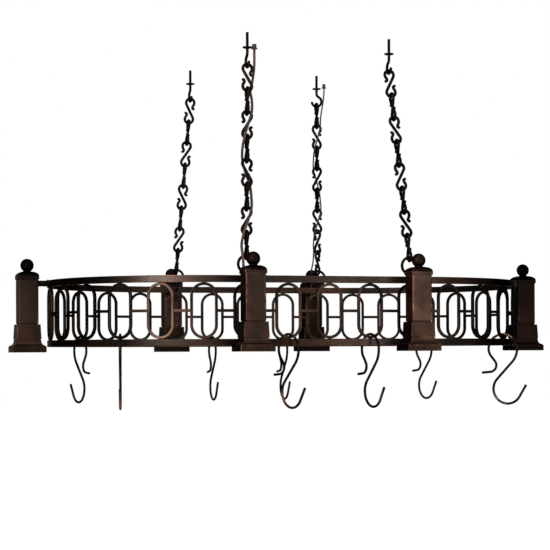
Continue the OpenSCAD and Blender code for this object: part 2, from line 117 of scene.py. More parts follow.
def add_sockets(tree, inputs, outputs):
    """Gives a node tree its named sockets and returns those that its nodes link to."""
    for side, sockets in (("INPUT", inputs), ("OUTPUT", outputs)):
        for label, form in sockets.items():
            tree.interface.new_socket(label, in_out=side, socket_type="NodeSocket" + form)
    return tree.nodes.new("NodeGroupInput").outputs, tree.nodes.new("NodeGroupOutput").inputs


def put(tree, kind, inputs=None, **settings):
    """Adds a node and returns its outputs. An input is a value or a socket to link."""
    node = tree.nodes.new(kind)
    for key, value in settings.items():
        setattr(node, key, value)
    for key, value in (inputs or {}).items():
        if isinstance(value, bpy.types.NodeSocket):
            tree.links.new(value, node.inputs[key])
        else:
            node.inputs[key].default_value = value
    return node.outputs


def maths(tree, operation, *values):
    """The result of a Math node."""
    return put(tree, "ShaderNodeMath", dict(enumerate(values)), operation=operation)[0]


def between(tree, value, low, high, to_low=0.0, to_high=1.0, curve="LINEAR"):
    """Maps a value from low to high onto to_low to to_high, and holds it there."""
    return put(tree, "ShaderNodeMapRange", {
        "Value": value, "From Min": low, "From Max": high, "To Min": to_low, "To Max": to_high,
    }, interpolation_type=curve)[0]


def patches(tree, vector, scale, detail, distortion=0.0):
    """Soft patches without a pattern, about scale of them to a metre."""
    return put(tree, "ShaderNodeTexNoise", {
        "Vector": vector, "Scale": scale, "Detail": detail, "Distortion": distortion,
    })["Fac"]


def mixed(tree, share, first, second):
    """A colour between two colours."""
    return put(tree, "ShaderNodeMix", {
        "Factor": share, 6: first, 7: second,
    }, data_type="RGBA")[2]


def give_out(tree, out, **results):
    """Links what a tree has made to its outputs."""
    for label, result in results.items():
        tree.links.new(result, out[label])


def new_finish(name, inputs):
    """A group of shader nodes for the colour, roughness and height of a finish."""
    tree = bpy.data.node_groups.new(name, "ShaderNodeTree")
    given, out = add_sockets(
        tree,
        {"Vector": "Vector", **inputs},
        {"Color": "Color", "Roughness": "Float", "Height": "Float"},
    )
    return tree, given, out


def braid_group():
    """The braided sheath of a cord: crossing threads as height, and their dust."""
    tree, given, out = new_finish("braided sheath", {
        "Thread": "Color", "Shade": "Color", "Threads per metre": "Float"})
    bands = [
        put(tree, "ShaderNodeTexWave", {
            "Vector": put(tree, "ShaderNodeMapping", {
                "Vector": given["Vector"], "Rotation": (lean, 0, lean)})[0],
            "Scale": given["Threads per metre"], "Distortion": 1.5, "Detail": 1.0,
        }, bands_direction="Z")["Fac"]
        for lean in (THREAD_LEAN, -THREAD_LEAN)
    ]
    weave = maths(tree, "MAXIMUM", *bands)
    dust = patches(tree, given["Vector"], 24.0, 4.0)
    tone = maths(tree, "MULTIPLY", weave, between(tree, dust, 0.42, 0.68))
    give_out(
        tree, out,
        Color=mixed(tree, between(tree, tone, 0.05, 0.8), given["Shade"], given["Thread"]),
        Roughness=between(tree, dust, 0.0, 1.0, 0.5, 0.75),
        Height=weave,
    )
    return tree


def finish_material(name, group, values, bump, **own):
    """A material whose colour, roughness and height come from a group of nodes."""
    material = bpy.data.materials.new(name)
    material.use_nodes = True
    tree = material.node_tree
    shader = tree.nodes["Principled BSDF"]
    for socket, value in own.items():
        shader.inputs[socket.replace("_", " ")].default_value = value
    effect = tree.nodes.new("ShaderNodeGroup")
    effect.node_tree = group
    for socket, value in values.items():
        effect.inputs[socket].default_value = value
    tree.links.new(put(tree, "ShaderNodeTexCoord")["Object"], effect.inputs["Vector"])
    tree.links.new(effect.outputs["Color"], shader.inputs["Base Color"])
    tree.links.new(effect.outputs["Roughness"], shader.inputs["Roughness"])
    raised = put(tree, "ShaderNodeBump", {"Height": effect.outputs["Height"], "Distance": bump})
    tree.links.new(raised["Normal"], shader.inputs["Normal"])
    return material


braid = braid_group()
cord_finishes = {
    "cord_front_left": ("cord_copper", finish_material(
        "brown braided cord", braid,
        {"Thread": (0.115, 0.043, 0.024, 1), "Shade": (0.016, 0.008, 0.006, 1),
         "Threads per metre": 260},
        bump=0.0003, Specular_IOR_Level=0.3)),
    "cord_back_right": ("cord_black", finish_material(
        "black braided cord", braid,
        {"Thread": (0.03, 0.022, 0.018, 1), "Shade": (0.008, 0.007, 0.006, 1),
         "Threads per metre": 380},
        bump=0.0002, Specular_IOR_Level=0.3)),
}
for name, (thick, length, route) in CORD_ROUTES.items():
    line = smooth_line([MM * Vector(p) for p in route])
    curve = bpy.data.curves.new(name, "CURVE")
    curve.dimensions = "3D"
    spline = curve.splines.new("POLY")
    spline.points.add(len(line) - 1)
    for point, at in zip(spline.points, line):
        point.co = (*at, 1)
    spline.use_smooth = True
    curve.bevel_depth = thick * MM / 2
    curve.bevel_resolution = 5
    curve.use_fill_caps = True
    cord = bpy.data.objects.new("braided_" + name, curve)
    bpy.context.scene.collection.objects.link(cord)
    slot, material = cord_finishes[name]
    curve.materials.append(material)
    chain = name.removeprefix("cord_")
    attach(cord, "chain_middle_" + chain)
    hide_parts(name)


# ---- Ceiling hooks
# Steel hooks of bent round rod, with a collar that is screwed up against the ceiling
# and a stud above it. The first link of each chain hangs in the bowl.

HOOK_DROP = 42
HOOK_WIRE = 6
HOOK_BOWL_R = 12
HOOK_NECK_R = 8
HOOK_TURN = 165
COLLAR_D = 20
COLLAR_H = 3
# from its rounded lower edge up: (height, share of the diameter)
COLLAR_FORM = ((-COLLAR_H, 0.8), (-2.9, 0.88), (-2.4, 0.97), (-1.8, 1.0), (0, 1.0))
STUD_H = 30
SEAT_X = 155.076
SEAT_Y = 251.228
# chain: side in x, side in y, how much lower it hangs, turn of its ceiling hook
CHAINS = {
    "front_left": (-1, -1, 0, 90),
    "front_right": (1, -1, 0.5, 90),
    "back_left": (-1, 1, 0.5, 90),
    "back_right": (1, 1, 1.4, 0),
}


def walk(moves, at=(0, 0), heading=0.0, step=2.5):
    """Points along straights (0, length) and bends (radius, degrees) from a heading that
    is measured in degrees from +Z towards +X, about step millimetres apart."""
    line = [Vector(at)]
    for radius, amount in moves:
        way = math.radians(heading)
        start = line[-1]
        if radius == 0:
            count = max(1, round(amount / (3 * step)))
            line += [
                start + k / count * amount * Vector((math.sin(way), math.cos(way)))
                for k in range(1, count + 1)
            ]
            continue
        side = math.copysign(radius, amount)
        hub = start + side * Vector((math.cos(way), -math.sin(way)))
        count = math.ceil(max(abs(math.radians(amount)) * radius / step, abs(amount) / 12))
        for k in range(1, count + 1):
            turned = way + math.radians(amount) * k / count
            line.append(hub - side * Vector((math.cos(turned), -math.sin(turned))))
        heading += amount
    return line


def rounded_end(line, wire):
    """Adds a rounded tip beyond a line's last point: (point, share of the thickness)."""
    way = (line[-1] - line[-2]).normalized()
    rod = [(p, 1.0) for p in line]
    for angle in (25, 50, 70, 85):
        a = math.radians(angle)
        rod.append((line[-1] + wire / 2 * math.sin(a) * way, math.cos(a)))
    return rod


def new_maker(name, inputs):
    """A Geometry Nodes tree that makes a shape from a mesh, in a material."""
    tree = bpy.data.node_groups.new(name, "GeometryNodeTree")
    given, out = add_sockets(
        tree,
        {"Geometry": "Geometry", **inputs, "Material": "Material"},
        {"Geometry": "Geometry"},
    )
    return tree, given, out


def end_maker(tree, given, out, shape):
    """Ends such a tree: copies made real, and the material set."""
    real = put(tree, "GeometryNodeRealizeInstances", {"Geometry": shape})[0]
    give_out(tree, out, Geometry=put(tree, "GeometryNodeSetMaterial", {
        "Geometry": real, "Material": given["Material"]})[0])
    return tree


def rod_tree():
    """Sweeps a round rod along each line of a mesh, thinner where its points say so."""
    tree, given, out = new_maker("bent rod", {"Wire": "Float", "Sides": "Int"})
    section = put(tree, "GeometryNodeCurvePrimitiveCircle", {
        "Resolution": given["Sides"], "Radius": maths(tree, "MULTIPLY", given["Wire"], 0.5)})
    swept = put(tree, "GeometryNodeCurveToMesh", {
        "Curve": put(tree, "GeometryNodeMeshToCurve", {"Mesh": given["Geometry"]})[0],
        "Profile Curve": section["Curve"],
        "Scale": put(tree, "GeometryNodeInputNamedAttribute", {
            "Name": "thick"}, data_type="FLOAT")[0],
        "Fill Caps": True,
    })[0]
    smooth = put(tree, "GeometryNodeSetShadeSmooth", {"Geometry": swept})[0]
    return end_maker(tree, given, out, smooth)


def made_by(tree, name, mesh, values, sharp=40):
    """An object with the plain mesh that a Geometry Nodes tree makes from a mesh."""
    piece = bpy.data.objects.new(name, mesh)
    bpy.context.scene.collection.objects.link(piece)
    step = piece.modifiers.new(tree.name, "NODES")
    step.node_group = tree
    for socket in tree.interface.items_tree:
        if socket.in_out == "INPUT" and socket.name in values:
            step[socket.identifier] = values[socket.name]
    graph = bpy.context.evaluated_depsgraph_get()
    plain = bpy.data.meshes.new_from_object(
        piece.evaluated_get(graph), preserve_all_data_layers=True, depsgraph=graph
    )
    piece.modifiers.clear()
    piece.data = plain
    plain.name = name
    plain.set_sharp_from_angle(angle=math.radians(sharp))
    bpy.data.meshes.remove(mesh)
    return piece


def line_mesh(rods, closed=False, **finish):
    """Lines of (point, thickness share) in a mesh, for the trees that sweep along them,
    with what finish says of each point, such as how far it is rubbed."""
    points, edges, thick = [], [], []
    for rod in rods:
        first = len(points)
        points += [p for p, _ in rod]
        thick += [t for _, t in rod]
        edges += [(i, i + 1) for i in range(first, len(points) - 1)]
        if closed:
            edges.append((len(points) - 1, first))
    mesh = bpy.data.meshes.new("line")
    mesh.from_pydata(points, edges, [])
    for label, amounts in {"thick": thick, **finish}.items():
        mesh.attributes.new(label, "FLOAT", "POINT").data.foreach_set("value", amounts)
    return mesh


def upright(rod, matrix=Matrix()):
    """A rod in the XZ plane, in millimetres, put in its place in metres."""
    return [(MM * (matrix @ Vector((p[0], 0, p[1]))), t) for p, t in rod]


# about how many patches of each kind the bronze has to a metre
CHIPS = 55.0
STRETCHES = 13.0
SPECKS = 420.0
# bare copper of worn edges, which on the posts and hooks also stands in for highlights
COPPER_WEAR_AND_HIGHLIGHT = (0.17, 0.085, 0.055, 1)


def bronze_group():
    """Oil-rubbed bronze: a near-black skin with warm brown clouds, bare copper where edges are
    rubbed, which on the posts and hooks also stands in for highlights, and the fine orange peel
    of the sprayed finish. A piece says how much lighter or darker than the rest it is coloured,
    mostly as painted light and shade, and where it is darker, which on the domes is painted
    shade."""
    tree, given, out = new_finish("oil-rubbed bronze", {
        "Dark": "Color", "Warm": "Color", "Bare": "Color", "Cloud scale": "Float",
        "Warm share": "Float", "Edge wear": "Float", "Gloss": "Float",
    })
    spot = given["Vector"]
    cloud = patches(tree, spot, given["Cloud scale"], 4.0, distortion=0.6)
    first_warm = maths(tree, "MULTIPLY_ADD", given["Warm share"], -0.4, 0.62)
    all_warm = maths(tree, "ADD", first_warm, 0.22)
    warmth = between(tree, cloud, first_warm, all_warm, curve="SMOOTHSTEP")
    skin = mixed(tree, warmth, given["Dark"], given["Warm"])
    rubbed, wiped, black = (
        put(tree, "ShaderNodeAttribute", attribute_name=label)["Fac"]
        for label in ("rubbed", "wiped", "black")
    )
    chips = patches(tree, spot, CHIPS, 5.0)
    stretches = patches(tree, spot, STRETCHES, 2.0)
    worn = maths(tree, "MULTIPLY", rubbed, given["Edge wear"])
    for where, none, full in ((chips, 0.35, 0.6), (stretches, 0.42, 0.6)):
        worn = maths(tree, "MULTIPLY", worn, between(tree, where, none, full))
    speck = patches(tree, spot, SPECKS, 2.0)
    tone = between(tree, speck, 0.3, 0.7, 0.82, 1.18)
    # lighter or darker as the piece says, mostly painted light and shade
    tone = maths(tree, "MULTIPLY_ADD", wiped, tone, tone)
    # darker where the piece says, which on the domes is painted shade
    tone = maths(tree, "MULTIPLY", tone, maths(tree, "SUBTRACT", 1.0, black))
    dull = between(tree, chips, 0.0, 1.0, 0.12, -0.12)
    give_out(
        tree, out,
        Color=put(tree, "ShaderNodeVectorMath", {
            0: mixed(tree, worn, skin, given["Bare"]), "Scale": tone}, operation="SCALE")[0],
        Roughness=maths(tree, "ADD", given["Gloss"], dull),
        Height=speck,
    )
    return tree


bent_rod = rod_tree()
bronze = bronze_group()


def bronze_finish(name, dark, warm, share, gloss=0.42, wear=0.0, cloud=7.0):
    """One of the rack's bronze finishes; gloss is its roughness, wear that of its edges, which on
    the posts and hooks also stands in for highlights.
    """
    return finish_material(
        name, bronze,
        {
            "Dark": (*dark, 1), "Warm": (*warm, 1), "Bare": COPPER_WEAR_AND_HIGHLIGHT,
            "Cloud scale": cloud, "Warm share": share, "Edge wear": wear, "Gloss": gloss,
        },
        bump=0.00008, Metallic=1.0, Specular_Tint=(0.3, 0.28, 0.26, 1),
    )


chain_finish = bronze_finish(
    "chain bronze", (0.0045, 0.004, 0.0035), (0.016, 0.009, 0.006), 0.35)


def seat(chain):
    """Where a ceiling hook's wire carries its chain."""
    side_x, side_y, lower, _ = CHAINS[chain]
    return Vector((side_x * SEAT_X, side_y * SEAT_Y, -HOOK_DROP - lower))


neck_turn = math.degrees(math.acos(HOOK_NECK_R / (HOOK_NECK_R + HOOK_BOWL_R)))
neck_h = math.sqrt(HOOK_BOWL_R**2 + 2 * HOOK_BOWL_R * HOOK_NECK_R)
hook_rods = []
for chain, (side_x, side_y, lower, turn) in CHAINS.items():
    reach = HOOK_DROP + lower + STUD_H
    line = walk(
        [(0, reach - HOOK_BOWL_R - neck_h), (HOOK_NECK_R, -neck_turn),
         (HOOK_BOWL_R, neck_turn + HOOK_TURN)],
        at=(0, -reach), step=1.5,
    )
    place = (
        Matrix.Translation(seat(chain))
        @ Matrix.Rotation(math.radians(turn), 4, "Z")
        @ Matrix.Rotation(math.pi, 4, "Y")
    )
    hook_rods.append(upright(rounded_end(line, HOOK_WIRE), place))
ceiling_hooks = made_by(bent_rod, "ceiling_hooks", line_mesh(hook_rods), {
    "Wire": HOOK_WIRE * MM, "Sides": 20, "Material": chain_finish})
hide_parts(*("ceiling_hook_" + chain for chain in CHAINS))
collar_rods = [
    [(MM * Vector((*seat(chain).xy, z)), share) for z, share in COLLAR_FORM]
    for chain in CHAINS
]
collars = made_by(bent_rod, "ceiling_collars", line_mesh(collar_rods), {
    "Wire": COLLAR_D * MM, "Sides": 32, "Material": chain_finish})
for piece in (ceiling_hooks, collars):
    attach(piece, "ceiling")


# ---- Chains
# Eight S links to a chain, each a rod bent round two eyes with its ends curled away.
# The first link swings in the ceiling hook, the last one carries a ring of the rack.

LINK_WIRE = 6.4
EYE_R = 9.7
EYE_REACH = 18.9
EYE_TURN = 239
SIDE_L = 4.5
CURL_R = 3.5
CURL_TURN = 110
LINK_GAP = 0.3
LINK_PITCH = 2 * (EYE_REACH + EYE_R) - LINK_WIRE - LINK_GAP
FIRST_LINK_Z = (HOOK_WIRE + LINK_WIRE) / 2 + LINK_GAP - EYE_REACH - EYE_R
LEAN_X = 0.053
LEAN_Y = 0.16
# chain: the turn of each of its links, from the top one down
LINK_TURNS = {
    "front_left": (0, 90, 180, 90, 0, 90, 180, 90),
    "front_right": (180, 90, 0, 90, 180, 90, 0, 90),
    "back_left": (0, 90, 180, 90, 0, 90, 180, 90),
    "back_right": (90, 0, 90, 180, 90, 0, 113, 45),
}


def set_out_tree():
    """Puts one pattern piece at every point of a mesh, turned as the point says."""
    tree, given, out = new_maker("set out", {"Pattern": "Object"})
    turn = put(tree, "GeometryNodeInputNamedAttribute", {
        "Name": "turn"}, data_type="FLOAT_VECTOR")[0]
    copies = put(tree, "GeometryNodeInstanceOnPoints", {
        "Points": given["Geometry"],
        "Instance": put(tree, "GeometryNodeObjectInfo", {"Object": given["Pattern"]})["Geometry"],
        "Rotation": put(tree, "FunctionNodeEulerToRotation", {"Euler": turn})[0],
    })[0]
    return end_maker(tree, given, out, copies)


set_out = set_out_tree()


def copies_of(pattern, name, places, material, sharp=40, wiped=None):
    """One piece with a copy of the pattern at each place, a matrix in millimetres."""
    mesh = bpy.data.meshes.new("places")
    mesh.from_pydata([MM * place.to_translation() for place in places], [], [])
    turns = [angle for place in places for angle in place.to_euler("XYZ")]
    mesh.attributes.new("turn", "FLOAT_VECTOR", "POINT").data.foreach_set("vector", turns)
    if wiped:
        mesh.attributes.new("wiped", "FLOAT", "POINT").data.foreach_set("value", wiped)
    return made_by(set_out, name, mesh, {"Pattern": pattern, "Material": material}, sharp)


def dispose(pattern):
    """Takes away a pattern piece once its copies are made."""
    bpy.data.objects.remove(pattern)


link_slant = math.asin(EYE_R / EYE_REACH)
half_link = walk(
    [(0, math.sqrt(EYE_REACH**2 - EYE_R**2)), (EYE_R, EYE_TURN),
     (0, SIDE_L), (CURL_R, -CURL_TURN)],
    heading=-math.degrees(link_slant), step=1.6,
)
link_line = [-p for p in half_link[:0:-1]] + half_link
first_tip = rounded_end(link_line[::-1], LINK_WIRE)[:len(link_line) - 1:-1]
link_rod = first_tip + rounded_end(link_line, LINK_WIRE)
link = made_by(bent_rod, "link", line_mesh([upright(link_rod)]), {
    "Wire": LINK_WIRE * MM, "Sides": 16, "Material": chain_finish})
lean_x = math.atan(LEAN_X)
lean_y = math.asin(LEAN_Y / math.sqrt(1 + LEAN_X**2 + LEAN_Y**2))
for chain, (side_x, side_y, _, _) in CHAINS.items():
    hang = (
        Matrix.Translation(seat(chain))
        @ Matrix.Rotation(-side_x * lean_x, 4, "Y")
        @ Matrix.Rotation(side_y * lean_y, 4, "X")
    )
    places = [
        hang
        @ Matrix.Translation((0, 0, FIRST_LINK_Z - i * LINK_PITCH))
        @ Matrix.Rotation(math.radians(turn), 4, "Z")
        for i, turn in enumerate(LINK_TURNS[chain])
    ]
    for part, some in (("top", places[:1]), ("middle", places[1:-1]), ("end", places[-1:])):
        links = copies_of(link, f"links_{part}_{chain}", some, chain_finish)
        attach(links, f"chain_{part}_{chain}")
        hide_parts(f"chain_{part}_{chain}")
dispose(link)


# ---- Rails
# Two flat bars rolled into the same racetrack, one above and one below the fretwork, with eased
# edges, painted highlights where the lamps catch the left bend and the front, and painted shade
# on the round ends.

STRAIGHT = 420
END_R = 315
RAIL_T = 8
RAIL_H = 14.4
RAIL_EASING = 1.1
FEET_Z = -628.378
LOWER_RAIL_Z = 11.5
FRET_H = 114.3
TOP_RAIL_Z = LOWER_RAIL_Z + RAIL_H + FRET_H
RACK_TOP_Z = TOP_RAIL_Z + RAIL_H
END_ARC = math.pi * END_R
ROUND = 2 * (STRAIGHT + END_ARC)
SQUARE = ((-1, -1), (1, -1), (1, 1), (-1, 1))


def on_rails(s):
    """x, y and the turn of the rails, s along them from the middle of the front."""
    if s < 0:
        x, y, turn = on_rails(-s)
        return -x, y, -turn
    if s <= STRAIGHT / 2:
        return s, -END_R, 0
    if s <= STRAIGHT / 2 + END_ARC:
        turn = (s - STRAIGHT / 2) / END_R
        return STRAIGHT / 2 + END_R * math.sin(turn), -END_R * math.cos(turn), turn
    return STRAIGHT + END_ARC - s, END_R, math.pi


def eased(corners, closed=True, steps=4, hold=0.7):
    """Rounds the corners (x, y, radius) of an outline and gives (x, y, rub) points: rub
    is 1 on a rounding and falls to 0 on the flat beside it, at most hold further on."""
    spots = [Vector(c[:2]) for c in corners]
    count = len(spots)
    ends = () if closed else (0, count - 1)
    cuts = []
    for i, (here, corner) in enumerate(zip(spots, corners)):
        if i in ends or corner[2] == 0:
            cuts.append(0)
            continue
        inside = (spots[i - 1] - here).angle(spots[(i + 1) % count] - here)
        cuts.append(corner[2] / math.tan(inside / 2))
    points = []
    for i, here in enumerate(spots):
        if cuts[i] == 0:
            points.append((*here, 0))
            continue
        arms = []
        for k in (-1, 1):
            j = (i + k) % count
            arm = spots[j] - here
            spare = arm.length - cuts[i] - cuts[j]
            arms.append((arm.normalized(), cuts[i] + min(hold, spare / 3)))
        (back, back_flat), (on, on_flat) = arms
        inside = back.angle(on)
        radius = cuts[i] * math.tan(inside / 2)
        hub = here + (back + on).normalized() * radius / math.sin(inside / 2)
        points.append((*(here + back * back_flat), 0))
        first, last = here + back * cuts[i] - hub, here + on * cuts[i] - hub
        sweep = first.angle_signed(last)
        for k in range(steps + 1):
            turned = Matrix.Rotation(-sweep * k / steps, 2) @ first
            points.append((*(hub + turned), 1))
        points.append((*(here + on * on_flat), 0))
    return points


def bar_section(wide, high, easing):
    """The outline of a flat bar with eased edges, for a bar to be swept from."""
    points = eased([(x * wide / 2, y * high / 2, easing) for x, y in SQUARE])
    count = len(points)
    mesh = bpy.data.meshes.new("outline")
    mesh.from_pydata(
        [(MM * x, MM * y, 0) for x, y, _ in points],
        [(i, (i + 1) % count) for i in range(count)],
        [],
    )
    rubs = [rub for *_, rub in points]
    mesh.attributes.new("rubbed", "FLOAT", "POINT").data.foreach_set("value", rubs)
    piece = bpy.data.objects.new("outline", mesh)
    bpy.context.scene.collection.objects.link(piece)
    return piece


def bar_tree():
    """Sweeps a bar's outline along level lines, its own y axis staying upright."""
    tree, given, out = new_maker("bent bar", {"Outline": "Object"})
    path = put(tree, "GeometryNodeSetCurveNormal", {
        "Curve": put(tree, "GeometryNodeMeshToCurve", {"Mesh": given["Geometry"]})[0],
    }, mode="Z_UP")[0]
    outline = put(tree, "GeometryNodeObjectInfo", {"Object": given["Outline"]})["Geometry"]
    swept = put(tree, "GeometryNodeCurveToMesh", {
        "Curve": path,
        "Profile Curve": put(tree, "GeometryNodeMeshToCurve", {"Mesh": outline})[0],
        "Fill Caps": True,
    })[0]
    smooth = put(tree, "GeometryNodeSetShadeSmooth", {"Geometry": swept})[0]
    return end_maker(tree, given, out, smooth)


bent_bar = bar_tree()
rail_finish = bronze_finish(
    "rail bronze", (0.015, 0.0105, 0.0085), (0.037, 0.0182, 0.0120), 0.5, wear=0.3, cloud=6.0)
rail_section = bar_section(RAIL_T, RAIL_H, RAIL_EASING)
arc_steps = 96
front_steps = 12
rail_path = [on_rails(STRAIGHT / 2 + END_ARC * k / arc_steps)[:2] for k in range(arc_steps + 1)]
rail_path += [(-x, -y) for x, y in rail_path]
rail_path += [(STRAIGHT * (k / front_steps - 0.5), -END_R) for k in range(1, front_steps)]

# painted shade on the round ends, which turn away from the lamps: (x, y, reach, amount)
PAINTED_SHADE_ENDS = (
    (-500, -150, 150, -0.8), (-480, 200, 170, -0.6),
    (460, -200, 200, -0.85), (490, 190, 170, -0.6),
)
# the darkest that painted shade makes a place on the rails and fretwork
DEEPEST_PAINTED_SHADE = -0.9


def wiped_at(x, y, spots):
    """How much lighter (or darker) than the rest a place at x, y in millimetres is coloured, as
    painted light and shade: each spot fades out over its reach."""
    return max(DEEPEST_PAINTED_SHADE, sum(
        amount * math.exp(-((x - at_x) ** 2 + (y - at_y) ** 2) / reach**2)
        for at_x, at_y, reach, amount in PAINTED_SHADE_ENDS + spots
    ))


# painted light on each rail: highlights where the lamps catch it, and on the lower rail a painted
# shade left of the middle: (x, y, reach, amount)
for rail, low, spots in (
    ("top_rail", TOP_RAIL_Z, ((-330, -290, 75, 2.2), (60, -315, 130, 0.7))),
    ("lower_rail", LOWER_RAIL_Z, (
        (-300, -302, 60, 0.7), (-120, -315, 90, -0.6), (110, -315, 75, 1.3))),
):
    line = [(MM * Vector((x, y, FEET_Z + low + RAIL_H / 2)), 1.0) for x, y in rail_path]
    wiped = [wiped_at(x, y, spots) for x, y in rail_path]
    bar = made_by(bent_bar, "bar_" + rail, line_mesh([line], closed=True, wiped=wiped), {
        "Outline": rail_section, "Material": rail_finish})
    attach(bar, "rack")
    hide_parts(rail)
dispose(rail_section)


# ---- Fretwork
# Thirty-two upright ovals of square bar, each joined to the next by a short bar at
# half height, and welded top and bottom to the rails with small beads.

OVAL_N = 32
OVAL_W = 56
OVAL_STRIP = 6
STRIP_EASING = 1.2
OVAL_PITCH = ROUND / OVAL_N
OVALS = range(1 - OVAL_N // 2, OVAL_N // 2 + 1)
BEAD_D = 8
# (distance from the rail, share of the diameter)
BEAD_FORM = ((0, 1.0), (0.7, 0.98), (1.5, 0.85), (2.2, 0.6))
TIE_SUNK = 0.5
FRET_Z = FEET_Z + LOWER_RAIL_Z + RAIL_H + FRET_H / 2


def upright_at(x, y, z, turn=0.0):
    """A place at x, y, z in millimetres, turned about Z."""
    return Matrix.Translation((x, y, z)) @ Matrix.Rotation(turn, 4, "Z")


fretwork_finish = bronze_finish(
    "fretwork bronze", (0.008, 0.0065, 0.0055), (0.036, 0.020, 0.014), 0.4, wear=0.25)
oval_places = [
    upright_at(x, y, FRET_Z, turn) for x, y, turn in (on_rails(k * OVAL_PITCH) for k in OVALS)]
strip_section = bar_section(OVAL_STRIP, OVAL_STRIP, STRIP_EASING)
bow_r = (OVAL_W - OVAL_STRIP) / 2
bow_y = (FRET_H - OVAL_W) / 2
bow_steps = 20
bow = [
    (bow_r * math.cos(a), bow_y + bow_r * math.sin(a))
    for a in (math.pi * k / bow_steps for k in range(bow_steps + 1))
]
oval_line = [(MM * Vector((x, y, 0)), 1.0) for x, y in bow + [(-x, -y) for x, y in bow]]
oval = made_by(bent_bar, "oval", line_mesh([oval_line], closed=True), {
    "Outline": strip_section, "Material": fretwork_finish})
stand_up = Matrix.Rotation(math.pi / 2, 4, "X")
# a painted highlight on the ovals at the left bend, where a lamp's reflection lights the top rail
# too
FRET_PAINTED_HIGHLIGHT = ((-335, -288, 60, 1.3),)
ovals = copies_of(
    oval, "ovals", [place @ stand_up for place in oval_places], fretwork_finish,
    wiped=[wiped_at(*place.translation.xy, FRET_PAINTED_HIGHLIGHT) for place in oval_places])
dispose(oval)

# the short bars between the ovals, sunk a little into their strips
ties = []
ties_wiped = []
tie_reach = OVAL_W / 2 - TIE_SUNK
for k in OVALS:
    ends = [
        upright_at(x, y, FRET_Z, turn) @ Vector((side * tie_reach, 0, 0))
        for side, (x, y, turn) in (
            (1, on_rails((k - 1) * OVAL_PITCH)), (-1, on_rails(k * OVAL_PITCH)))
    ]
    ties.append([(MM * p, 1.0) for p in ends])
    # the ties take the same painted highlight as the ovals
    ties_wiped += [wiped_at(*p.xy, FRET_PAINTED_HIGHLIGHT) for p in ends]
tie_bars = made_by(bent_bar, "tie_bars", line_mesh(ties, wiped=ties_wiped), {
    "Outline": strip_section, "Material": fretwork_finish})
dispose(strip_section)

# a bead of weld round the head and the foot of each oval, spread against its rail
bead_rods = [
    [
        (MM * Vector((*place.translation.xy, FRET_Z + side * (FRET_H / 2 - below))), share)
        for below, share in BEAD_FORM
    ]
    for place in oval_places for side in (-1, 1)
]
beads = made_by(bent_rod, "weld_beads", line_mesh(bead_rods), {
    "Wire": BEAD_D * MM, "Sides": 12, "Material": fretwork_finish})
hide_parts("fretwork_ovals")
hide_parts("fretwork_bars")
for piece in (ovals, tie_bars, beads):
    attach(piece, "rack")


# ---- Posts
# Cast posts of three parts on a tie rod: a foot that flares out under a tapered plinth,
# a square tube as the shaft, and a cap with a low four-sided dome.

POST_REACH = 50
SHAFT_HALF = 21.5
SHAFT_WALL = 2.5
SHAFT_CORNER = 3.2
FOOT_HALF = 36
SOLE_HALF = 34
FOOT_H = 13
FOOT_STEP = 1.5
BAND_HALF = 26.3
BAND_H = 4.5
BAND_STEP = 1.3
PLINTH_Z = 28
PLINTH_HALF = 26.7
PLINTH_TOP_HALF = 25
BASE_CORNER = 1.6
GROOVE_Z = 60
GROOVE_HALF = 20
SHAFT_Z = 61.4
PLUG_HALF = 18.8
BASE_PLUG_H = 5
CAP_PLUG_H = 3
CAP_RISE = 0.8
CAP_Z = RACK_TOP_Z + CAP_RISE
CAP_CORNER = 1.4
RIM_H = 6.5
RIM_HALF = 23
DOME_Z = CAP_Z + RIM_H
DOME_H = 10.8
NECK_Z = DOME_Z + DOME_H
NECK_R = 9.2
BALL_R = 14.3
BALL_RISE = 13
BALL_Z = NECK_Z + BALL_RISE
BALL_FOOT_R = 8.5
ROD_HOLE_R = 4.2
NUT_HOLE_R = 8.6
NUT_HOLE_H = 9
post_x = 2 * OVAL_PITCH
post_y = END_R + POST_REACH
POSTS = {
    "left": (-STRAIGHT / 2 - post_y, 0, math.pi),
    "right": (STRAIGHT / 2 + post_y, 0, 0),
    "front_left": (-post_x, -post_y, -math.pi / 2),
    "front_right": (post_x, -post_y, -math.pi / 2),
    "back_left": (-post_x, post_y, math.pi / 2),
    "back_right": (post_x, post_y, math.pi / 2),
}
post_places = [upright_at(x, y, FEET_Z, turn) for x, y, turn in POSTS.values()]
# painted light and shade: how much lighter or darker than the rest the cap, shaft and base of
# each post are coloured, as the lamps light or leave them
CAPS_PAINTED_LIGHT = (-0.6, -0.8, -0.2, 0.2, -0.3, -0.7)
SHAFTS_PAINTED_LIGHT = (-0.22, -0.7, 0, 0.45, 0.05, -0.65)
BASES_PAINTED_LIGHT = (-0.25, -0.75, -0.12, -0.15, -0.6, -0.65)
# how much darker the colour is on the domes, as painted shade on their upward faces, on the
# balls, and on the feet
DOME_AND_BALL_DARKENING = 0.7
FOOT_DARKENING = 0.35


